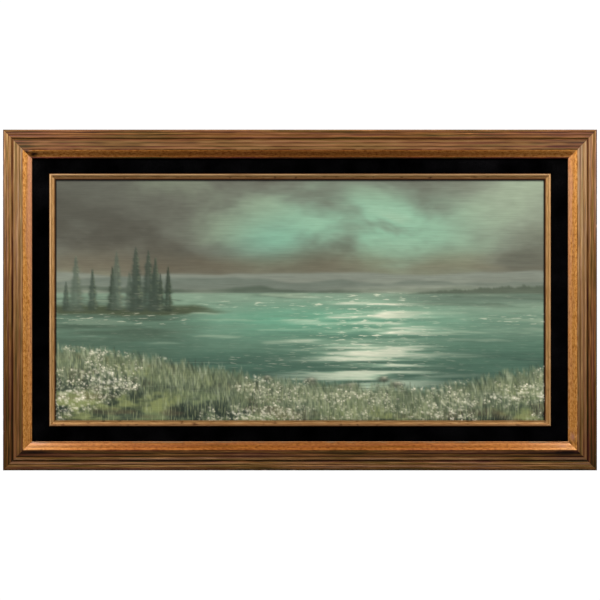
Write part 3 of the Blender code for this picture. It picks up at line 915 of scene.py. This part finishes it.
# Pile stands about 1 mm high in tufts 0.4 mm apart. They are drawn 1.5 mm apart, to show close to.
where = add_node(tree, "TexCoord", out="Object")
pile = add_node(tree, "TexNoise", {"Vector": where, "Scale": 650.0, "Detail": 2.0})
brushed = add_node(tree, "TexNoise", {"Vector": where, "Scale": 14.0, "Detail": 3.0})
nap = add_node(tree, "Math", {0: pile, 1: brushed}, operation="MULTIPLY")
black = add_node(
    tree, "ValToRGB", {"Fac": nap}, stops=((0.15, "#000000"), (0.3, "#040405"), (0.45, "#0b0b0d"))
)
finish_surface(tree, shader, black, pile, 0.6, 0.0006)
board = sawn_wood("Sawn deal board", "#c9a673", "#a98350", "#86623a", 0.006)
round_start = LINER_WIDTH - LINER_ROUND
liner_face = [(across, LINER_FRONT) for across in np.linspace(0.0, round_start, 20)]
liner_edge = quarter((round_start, LINER_FRONT - LINER_ROUND), LINER_ROUND, 90, 5)[1:]
back_places = (LINER_WIDTH, LINER_WIDTH - TURNED_INNER, TURNED_OUTER)
liner_back = [(across, LINER_BACK) for across in back_places]
liner_outline = np.array([(0.0, LINER_BACK), *liner_face, *liner_edge, *liner_back])
liner_skins = [0] * len(liner_outline)
liner_skins[-2] = 1
for side in range(4):
    along, across, forward = lay_run(side, LINER_RING, liner_outline, LINER_STEP)
    pillow = patches(along, across, (0.06, 0.02), 540 + side, 2)
    on_face = (forward > LINER_FRONT - 0.0001) & (across > 0.001)
    forward = forward - np.where(on_face, PILLOW * pillow, 0)
    mesh_length(
        side,
        ("velvet_length", "velvet_liner"),
        "velvet",
        LINER_RING,
        (along, across, forward),
        liner_skins,
        [velvet, board],
    )

# The moulding: a reeded wooden section, gessoed, gilt in bronze coloured leaf, combed and toned with
# umber and grey glazes, its inner ogee left bright over red clay. Knocks show clay, gesso and wood.

RAIL_RING = ring_of("frame_rail")
OUTER_REEDS = (0.0076, 0.0066, 0.0076)
INNER_REEDS = (0.0076, 0.0096, 0.0081)
REED_RELIEF = 0.0009
GROOVE_WIDTH = 0.0038
GROOVE_DEPTH = 0.0018
BEVEL_WIDTH = 0.0164
LIP_WIDTH = 0.0032
LIP_RELIEF = 0.0006
BEVEL_DROP = 0.0125
OGEE_BOW = 0.45
RIDGE = 0.0507
SHOULDER = 0.0422
OUTER_EDGE = 0.0382
RABBET_DEPTH = 0.034
RABBET_WIDTH = 0.012
BACK_CHAMFER = 0.002
# How far the outer and inner corners of the face are rounded down, and over what width.
RIM_ROUNDING = (0.0006, 0.0014)
LIP_ROUNDING = (0.0004, 0.0009)
# How deep the comb's furrows, rubs, nicks and chips go.
COMB_DEPTH = 0.0005
RUB_DEPTH = 0.0006
NICK_DEPTH = 0.0007
CHIP_DEPTH = 0.0011
# How wide the ridge and the outer corner are worn, and how softly one depth of glaze meets the next.
RIDGE_WEAR = 0.0013
RIM_WEAR = 0.0012
GLAZE_BLUR = 0.0004
groove_start = sum(OUTER_REEDS)
groove_end = groove_start + GROOVE_WIDTH
ridge_at = groove_end + sum(INNER_REEDS)
foot_at = ridge_at + BEVEL_WIDTH
RAIL_WIDTH = foot_at + LIP_WIDTH


def reeded(across, start, widths, low, high):
    """Height of a band of round reeds, and how deep between two reeds each point lies."""
    edges = start + np.concatenate([[0.0], np.cumsum(widths)])
    which = np.clip(np.searchsorted(edges, across, side="right") - 1, 0, len(widths) - 1)
    share = np.clip((across - edges[which]) / (edges[which + 1] - edges[which]), 0, 1)
    swell = np.sin(np.pi * share)
    rise = low + (high - low) * (across - start) / sum(widths)
    return rise + REED_RELIEF * swell, 1 - swell


def front_of(across):
    """Height of the moulding's face off the wall, and the depth of its hollows from 0 to 1."""
    height, hollow = reeded(across, 0.0, OUTER_REEDS, OUTER_EDGE, SHOULDER)
    inner, inner_hollow = reeded(across, groove_end, INNER_REEDS, SHOULDER, RIDGE)
    groove = np.clip((across - groove_start) / GROOVE_WIDTH, 0, 1)
    in_groove = (across > groove_start) & (across < groove_end)
    height = np.where(in_groove, SHOULDER - GROOVE_DEPTH * np.sin(np.pi * groove), height)
    hollow = np.where(in_groove, 1 + 0.8 * np.sin(np.pi * groove), hollow)
    height = np.where(across >= groove_end, inner, height)
    hollow = np.where(across >= groove_end, inner_hollow, hollow)
    share = np.clip((across - ridge_at) / BEVEL_WIDTH, 0, 1)
    ogee = share - OGEE_BOW * np.sin(math.tau * share) / math.tau
    height = np.where(across >= ridge_at, RIDGE - ogee * BEVEL_DROP, height)
    swell = np.sin(np.pi * np.clip((across - foot_at) / LIP_WIDTH, 0, 1))
    height = np.where(across >= foot_at, RIDGE - BEVEL_DROP + LIP_RELIEF * swell, height)
    hollow = np.where(across >= ridge_at, 0, hollow)
    for away, (fall, width) in ((across, RIM_ROUNDING), (RAIL_WIDTH - across, LIP_ROUNDING)):
        height = height - fall * np.clip(1 - away / width, 0, 1) ** 2
    return height, hollow


# Toned gilding: gold leaf dulled by glazes of umber, olive and a mauve grey that ran along the comb.
# It gives long fine streaks and a satin gleam that the bright ogee keeps in full; the dark hollows
# are painted shade.
gilding, tree, shader = start_material("Toned gilding on gesso", Specular_IOR_Level=0.2)
grain = add_node(tree, "UVMap", uv_map="Grain")
finish_and_light, wear = carried_amounts(tree, "FinishAndLight"), carried_amounts(tree, "Wear")
# The comb's teeth are about 3 mm apart, the fine scratches between them 1 mm, and the washes of
# glaze that ran along it 8 mm.
comb = streaks(tree, grain, (4, 390, 1), 3.0, Roughness=0.6)
scratch = streaks(tree, grain, (16, 900, 1), 2.0)
streak = add_node(tree, "Mix", {"Factor": 0.45, "A": comb, "B": scratch}, data_type="FLOAT")
darks = ((0.39, "#241409"), (0.45, "#664a2c"), (0.48, "#a07a3c"))
lights = ((0.515, "#7a5e4c"), (0.55, "#ac8a68"), (0.6, "#e2bc8c"))
glazes = add_node(tree, "ValToRGB", {"Fac": streak}, stops=darks + lights)
wash = streaks(tree, grain, (4, 130, 1), 3.0)
wash_tone = add_node(
    tree, "ValToRGB", {"Fac": wash}, stops=((0.4, "#625c22"), (0.5, "#957448"), (0.6, "#8f7c70"))
)
umber = add_node(
    tree, "ValToRGB", {"Fac": wash}, stops=((0.4, "#251f04"), (0.5, "#2d1604"), (0.6, "#3a1412"))
)
toned = add_node(tree, "Mix", {"Factor": 0.42, "A": glazes, "B": wash_tone}, data_type="RGBA")
# Bright leaf, thin enough over the red clay to warm it, and mottled with worn specks 4 mm wide.
leaf = streaks(tree, grain, (110, 230, 1), 4.0, Roughness=0.7)
leaf_tone = add_node(
    tree, "ValToRGB", {"Fac": leaf}, stops=((0.34, "#7e4d1a"), (0.46, "#b67c38"), (0.62, "#cf9a58"))
)
bared = {"Factor": wear[1], "A": leaf_tone, "B": shade("#b0806a")}
clayed = add_node(tree, "Mix", bared, data_type="RGBA")
# What lies over the toned gilding, in this order: the bright leaf, the grey of the veil and of the
# lip, whose pale is partly a painted highlight, the brown glaze with the painted shade, scuffs and
# chips. The glaze is clear in itself, so that it first warms the gold, and hides it only where deep.
thin_glaze = add_node(tree, "Math", {0: finish_and_light[2], 1: 0.65}, operation="POWER", use_clamp=True)
for amount, over, blend in (
    (finish_and_light[0], clayed, "MIX"),
    (finish_and_light[1], shade("#a6947e"), "MIX"),
    (thin_glaze, shade("#e8ae3c"), "MULTIPLY"),
    (finish_and_light[2], umber, "MIX"),
    (wear[0], shade("#1c0b05"), "MIX"),
    (wear[2], shade("#a88672"), "MIX"),
):
    tones = {"Factor": amount, "A": toned, "B": over}
    toned = add_node(tree, "Mix", tones, data_type="RGBA", blend_type=blend)
finish_surface(tree, shader, toned, streak, 0.5, 0.0008)
gleam = add_node(tree, "MapRange", {"Value": finish_and_light[0], "To Min": 0.22, "To Max": 0.55})
tree.links.new(gleam, shader.inputs["Metallic"])
satin = add_node(
    tree,
    "MapRange",
    {"Value": scratch, "From Min": 0.3, "From Max": 0.7, "To Min": 0.42, "To Max": 0.6},
)
tree.links.new(satin, shader.inputs["Roughness"])
rail_wood = sawn_wood("Raw ramin wood", "#c8a878", "#ac8755", "#7b5a34", 0.003)

zone_ends = (0.0, groove_start, groove_end, ridge_at, foot_at, RAIL_WIDTH)
zone_points = (33, 6, 38, 24, 6)
zones = [
    np.linspace(start, end, count, endpoint=False)
    for start, end, count in zip(zone_ends, zone_ends[1:], zone_points)
]
face_across = np.concatenate([*zones, [RAIL_WIDTH]])
face_forward, face_hollow = front_of(face_across)
wall_forward = np.linspace(BACK_CHAMFER, OUTER_EDGE - 0.0015, 9)
rail_outline = np.concatenate(
    [
        [(BACK_CHAMFER, 0.0)],
        [(0.0, depth) for depth in wall_forward],
        np.stack([face_across, face_forward], axis=-1),
        [(RAIL_WIDTH, RABBET_DEPTH)],
        [(RAIL_WIDTH - RABBET_WIDTH, RABBET_DEPTH)],
        [(RAIL_WIDTH - RABBET_WIDTH, 0.0)],
    ]
)
face_rows = slice(1 + len(wall_forward), 1 + len(wall_forward) + len(face_across))
rail_skins = [1] + [0] * (len(rail_outline) - 4) + [1, 1, 1]
RAIL_STEP = 0.0024
# How deep the brown glaze and the painted shade lie from each place across the face inwards: on
# the top, right, bottom and left length, and by how much more at the ends of the top and bottom
# ones.
GLAZE_AND_SHADE = (
    (0.0, (0.40, 0.95, 0.6, 0.7), (0.15, 0.0)),
    (0.0026, (0.55, 0.15, 0.9, 0.12), (0.15, 0.0)),
    (0.0056, (0.55, 0.15, 0.2, 0.12), (0.15, 0.0)),
    (groove_start, (0.35, 0.3, 0.4, 0.25), (0.0, 0.0)),
    (groove_end, (0.6, 0.0, 0.15, 0.05), (0.22, 0.0)),
    (groove_end + INNER_REEDS[0], (0.6, 0.0, 0.5, 0.05), (0.22, 0.4)),
    (ridge_at, (0.42, 0.0, 0.52, 0.0), (-0.5, -0.6)),
    (foot_at, (1.05, 0.06, 0.15, 0.06), (0.0, 0.0)),
)
# Painted shade: how much deeper it lies towards the foot of the right and left ones, before and on
# the inner reeds.
FOOT_SHADE = (0.55, 0.4)
# How much painted shade lies in the hollows, how far the bevel is rubbed pink, and how pale its
# lip is, partly worn and partly a painted highlight.
HOLLOW_SHADE = (0.30, 0.45, 0.60, 0.45)
PINK = (0.1, 0.55, 0.35, 0.75)
PALE_LIP = (0.0, 0.3, 0.7, 0.2)
# How much gesso shows through the worn leaf at the ends of the bevel, on the top and bottom length.
FROST = (0.0, 0.45)
# A grey mauve veil over the inner reeds, strongest on the top length.
VEIL = (0.8, 0.22, 0.0, 0.12)
# Dark scuffs: side, middle along the length and across it, half sizes, and their strength. Along
# runs left on the top rail, up on the right one, right at the bottom and down on the left.
SCUFFS = (
    (0, 0.650, 0.0610, 0.010, 0.0060, 1.2),
    (0, 0.668, 0.0570, 0.006, 0.0060, 0.9),
    (0, 0.620, 0.0580, 0.014, 0.0040, 0.35),
    (2, -0.214, 0.0625, 0.045, 0.0026, 0.40),
    (2, -0.645, 0.0465, 0.032, 0.0045, 0.95),
    (2, 0.650, 0.0450, 0.034, 0.0060, 1.10),
    (2, 0.560, 0.0460, 0.050, 0.0050, 0.45),
    (3, -0.290, 0.0600, 0.012, 0.0040, 0.20),
    (1, -0.350, 0.0660, 0.006, 0.0030, 0.8),
    (1, -0.344, 0.0560, 0.005, 0.0030, 0.4),
)
# Rubs through the leaf to the red clay, laid out in the same way.
RUBS = (
    (1, -0.334, 0.0610, 0.009, 0.0050, 0.9),
    (2, 0.643, 0.0600, 0.010, 0.0035, 0.7),
    (2, -0.640, 0.0660, 0.020, 0.0035, 0.9),
    (0, 0.664, 0.0535, 0.006, 0.0030, 1.0),
)
# Chips down to the gesso, laid out in the same way too.
CHIPS = (
    (2, -0.086, 0.0006, 0.0040, 0.0016, 1.0),
    (2, -0.017, 0.0006, 0.0070, 0.0018, 0.8),
    (0, 0.655, 0.0515, 0.0030, 0.0012, 0.55),
    (2, -0.650, 0.0688, 0.014, 0.0013, 0.85),
    (2, -0.615, 0.0690, 0.012, 0.0010, 0.60),
    (2, 0.625, 0.0688, 0.035, 0.0011, 0.65),
    (1, -0.312, 0.0688, 0.005, 0.0012, 0.80),
    (1, 0.180, 0.0010, 0.0045, 0.0014, 0.7),
    (3, 0.060, 0.0008, 0.0060, 0.0012, 0.6),
)


def marks(places, side, along, across):
    """The strength of one side's marks at each point."""
    total = np.zeros(along.shape)
    for where, middle, depth, long, wide, strength in places:
        if where == side:
            total += strength * bell(along, middle, long) * bell(across, depth, wide)
    return total


for side in range(4):
    along, across, forward = lay_run(side, RAIL_RING, rail_outline, RAIL_STEP)
    zone = np.zeros(along.shape, bool)
    zone[face_rows] = True
    hollow = np.zeros(along.shape)
    hollow[face_rows] = face_hollow[:, None]
    reed_zone = zone & (across < ridge_at - 0.0004)
    combed = patches(along, across, (0.35, 0.0022), 600 + side, 2) - 0.5
    forward = forward - np.where(reed_zone, COMB_DEPTH * (0.5 + combed), 0)
    ragged = patches(along, 0 * across, (0.016, 1), 620 + side, 3)
    worn = bell(across, ridge_at, RIDGE_WEAR) * ease(0.52, 0.85, ragged)
    on_face = ease(OUTER_EDGE - 0.005, OUTER_EDGE - 0.002, forward)
    nicked = ease(0.70, 0.92, patches(along, 0 * across, (0.012, 1), 640 + side, 2))
    nicked = bell(across, 0.0, RIM_WEAR) * on_face * nicked
    scuff = marks(SCUFFS, side, along, across)
    scuff = scuff * (0.55 + 0.9 * patches(along, across, (0.006, 0.003), 660 + side, 2))
    bared = marks(RUBS, side, along, across) * (0.5 + patches(along, across, (0.005, 0.003), 665))
    chip = marks(CHIPS, side, along, across) * on_face
    chip = ease(0.25, 0.75, chip * (0.5 + patches(along, across, (0.003, 0.002), 670 + side)))
    sunk = RUB_DEPTH * worn + NICK_DEPTH * nicked + CHIP_DEPTH * chip
    forward = forward - np.where(zone, sunk, 0)
    leafed = ease(-0.0006, 0.0006, across - ridge_at + 0.0010 * (ragged - 0.45))
    leafed = np.where(zone, leafed, 0)
    patchy = patches(along, across, (0.025, 0.003), 690 + side, 2)
    lip = ease(foot_at - 0.0012 * patchy, foot_at + 0.0010, across) * ease(0.35, 0.75, patchy)
    veil = ease(groove_end - 0.0004, groove_end + 0.0010, across) * (across < ridge_at)
    veil = veil * (0.5 + patches(along, across, (0.09, 0.004), 685 + side, 2)) * VEIL[side]
    # This rises to 1 at the mitres of the top and bottom length, more suddenly on the bottom one.
    ends = np.abs(along / (RAIL_RING[side % 2] / 2)) ** (2 + side) * (1 - side % 2)
    frost = FROST[side // 2] * ends * (across > ridge_at) * (0.6 + 0.8 * patchy)
    # The lip's pale is partly wear and partly a painted highlight, most on the bottom length.
    lip = np.where(zone, lip * PALE_LIP[side] + veil + frost, 0)
    rub = patches(along, across, (0.07, 0.004), 680 + side, 3)
    clay = ease(0.50, 0.85, 0.6 * rub + 0.55 * (across - ridge_at) / BEVEL_WIDTH)
    # Painted shade: the glaze lies deeper where a length or place is turned from the light.
    depth = np.zeros(along.shape)
    for edge, amounts, at_ends in GLAZE_AND_SHADE:
        amount = amounts[side] + at_ends[side // 2] * ends
        laid = ease(edge - GLAZE_BLUR, edge + GLAZE_BLUR, across) if edge else 1
        depth += (amount - depth) * laid
    clay = clay * PINK[side]
    # Painted shade: the sides darken towards the foot, away from the light, and lose pink there.
    if side % 2:
        drop = ease(0.30, -0.45, along if side == 1 else -along)
        depth = depth + np.where(across < groove_end, *FOOT_SHADE) * drop * (across < ridge_at)
        clay = clay * (1 - drop)
    uneven = patches(along, across, (0.045, 0.004), 695 + side, 2)
    # Painted shade in the hollows of the reeds and in the groove.
    hollow_shade = HOLLOW_SHADE[side] * np.clip(hollow, 0, 1) ** 1.8 * (across < ridge_at)
    glaze_and_shade = depth * (0.8 + 0.4 * uneven) + hollow_shade * (0.4 + 1.1 * uneven)
    glaze_and_shade = np.where(zone, glaze_and_shade, 0.35)
    # Painted shade along the ridge's outer foot.
    ridge_shade = bell(across, ridge_at - 0.0012, 0.0009) * ease(0.3, 0.6, ragged) * 0.4
    glaze_and_shade = np.clip(glaze_and_shade + ridge_shade, 0, 1)
    finish_and_light = (leafed, lip, glaze_and_shade)
    wear = tuple(np.clip(amount, 0, 1) for amount in (scuff, clay + bared, chip + 0.5 * nicked))
    mesh_length(
        side,
        ("gilded_rail", "frame_rail"),
        "moulding",
        RAIL_RING,
        (along, across, forward),
        rail_skins,
        [gilding, rail_wood],
        {"FinishAndLight": finish_and_light, "Wear": wear},
    )

# The hangers: two toothed strips stamped from steel with a thin brass wash, each held to the back of
# a side rail by two bright round nails. They have a soft sheen with faint rolling lines, and are
# greyer where the wash has gone.

brassed = plate("Brass washed steel", "#c9a55a", "#8f7c55")


def dress(node, material):
    """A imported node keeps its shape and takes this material."""
    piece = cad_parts[node]
    piece.data.materials.clear()
    piece.data.materials.append(material)


for title in ("left", "right"):
    dress(f"hanger_{title}", brassed)
    for number in (1, 2):
        dress(f"hanger_{title}_nail_{number}", steel)

# The studio: a pale floor well below the picture, a broad soft light above and in front of it, two
# at the sides, a weak one behind that shows the back, and a white surround.

FLOOR_Z = -1.6
FLOOR_SIZE = 4.2
CAMERA_DISTANCE = 3.464
LENS = 85
SENSOR = 36
floor_material, tree, shader = start_material("Pale studio floor", Roughness=0.8)
shader.inputs["Base Color"].default_value = shade("#ecebe8")
bpy.ops.mesh.primitive_plane_add(size=FLOOR_SIZE, location=(0, 0, FLOOR_Z))
floor = bpy.context.object
floor.name = "studio_floor"
floor.data.materials.append(floor_material)
floor.visible_glossy = False
floor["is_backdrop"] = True

centre = Vector((0, -0.03, MIDDLE.translation.z))
for name, place, size, watts, tint in (
    ("key_softbox", (0, -1.4, 1.3), (2.2, 0.7), 12, "#fffaf2"),
    ("left_softbox", (-1.5, -1.1, 1.0), (0.5, 0.8), 50, "#fff6ea"),
    ("right_softbox", (1.5, -1.1, 1.0), (0.5, 0.8), 50, "#fff6ea"),
    ("back_softbox", (0.3, 2.4, 1.2), (2.0, 0.8), 22, "#fffaf2"),
):
    lamp = bpy.data.lights.new(name, "AREA")
    lamp.shape = "RECTANGLE"
    lamp.size, lamp.size_y = size
    lamp.energy = watts
    lamp.color = shade(tint)[:3]
    holder = bpy.data.objects.new(name, lamp)
    holder.location = place
    holder.rotation_mode = "QUATERNION"
    holder.rotation_quaternion = (centre - Vector(place)).to_track_quat("-Z", "Y")
    bpy.context.scene.collection.objects.link(holder)

world = bpy.data.worlds.new("White surround")
bpy.context.scene.world = world
world.use_nodes = True
tree = world.node_tree
seen = add_node(tree, "LightPath")
strength = add_node(tree, "MapRange", {"Value": seen, "To Min": 0.18, "To Max": 1.05})
tree.nodes["Background"].inputs["Color"].default_value = shade("#ffffff")
tree.links.new(strength, tree.nodes["Background"].inputs["Strength"])
bpy.context.scene.view_settings.view_transform = "Standard"

eye = bpy.data.cameras.new("camera")
eye.lens = LENS
eye.sensor_width = SENSOR
camera = bpy.data.objects.new("camera", eye)
camera.location = (0, -(OUTER_EDGE + CAMERA_DISTANCE), MIDDLE.translation.z)
camera.rotation_euler = (math.radians(90), 0, 0)
bpy.context.scene.collection.objects.link(camera)
bpy.context.scene.camera = camera

boxes = {"cad": cad_box, "visual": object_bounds()}
{name: [list(corner) for corner in box] for name, box in boxes.items()}
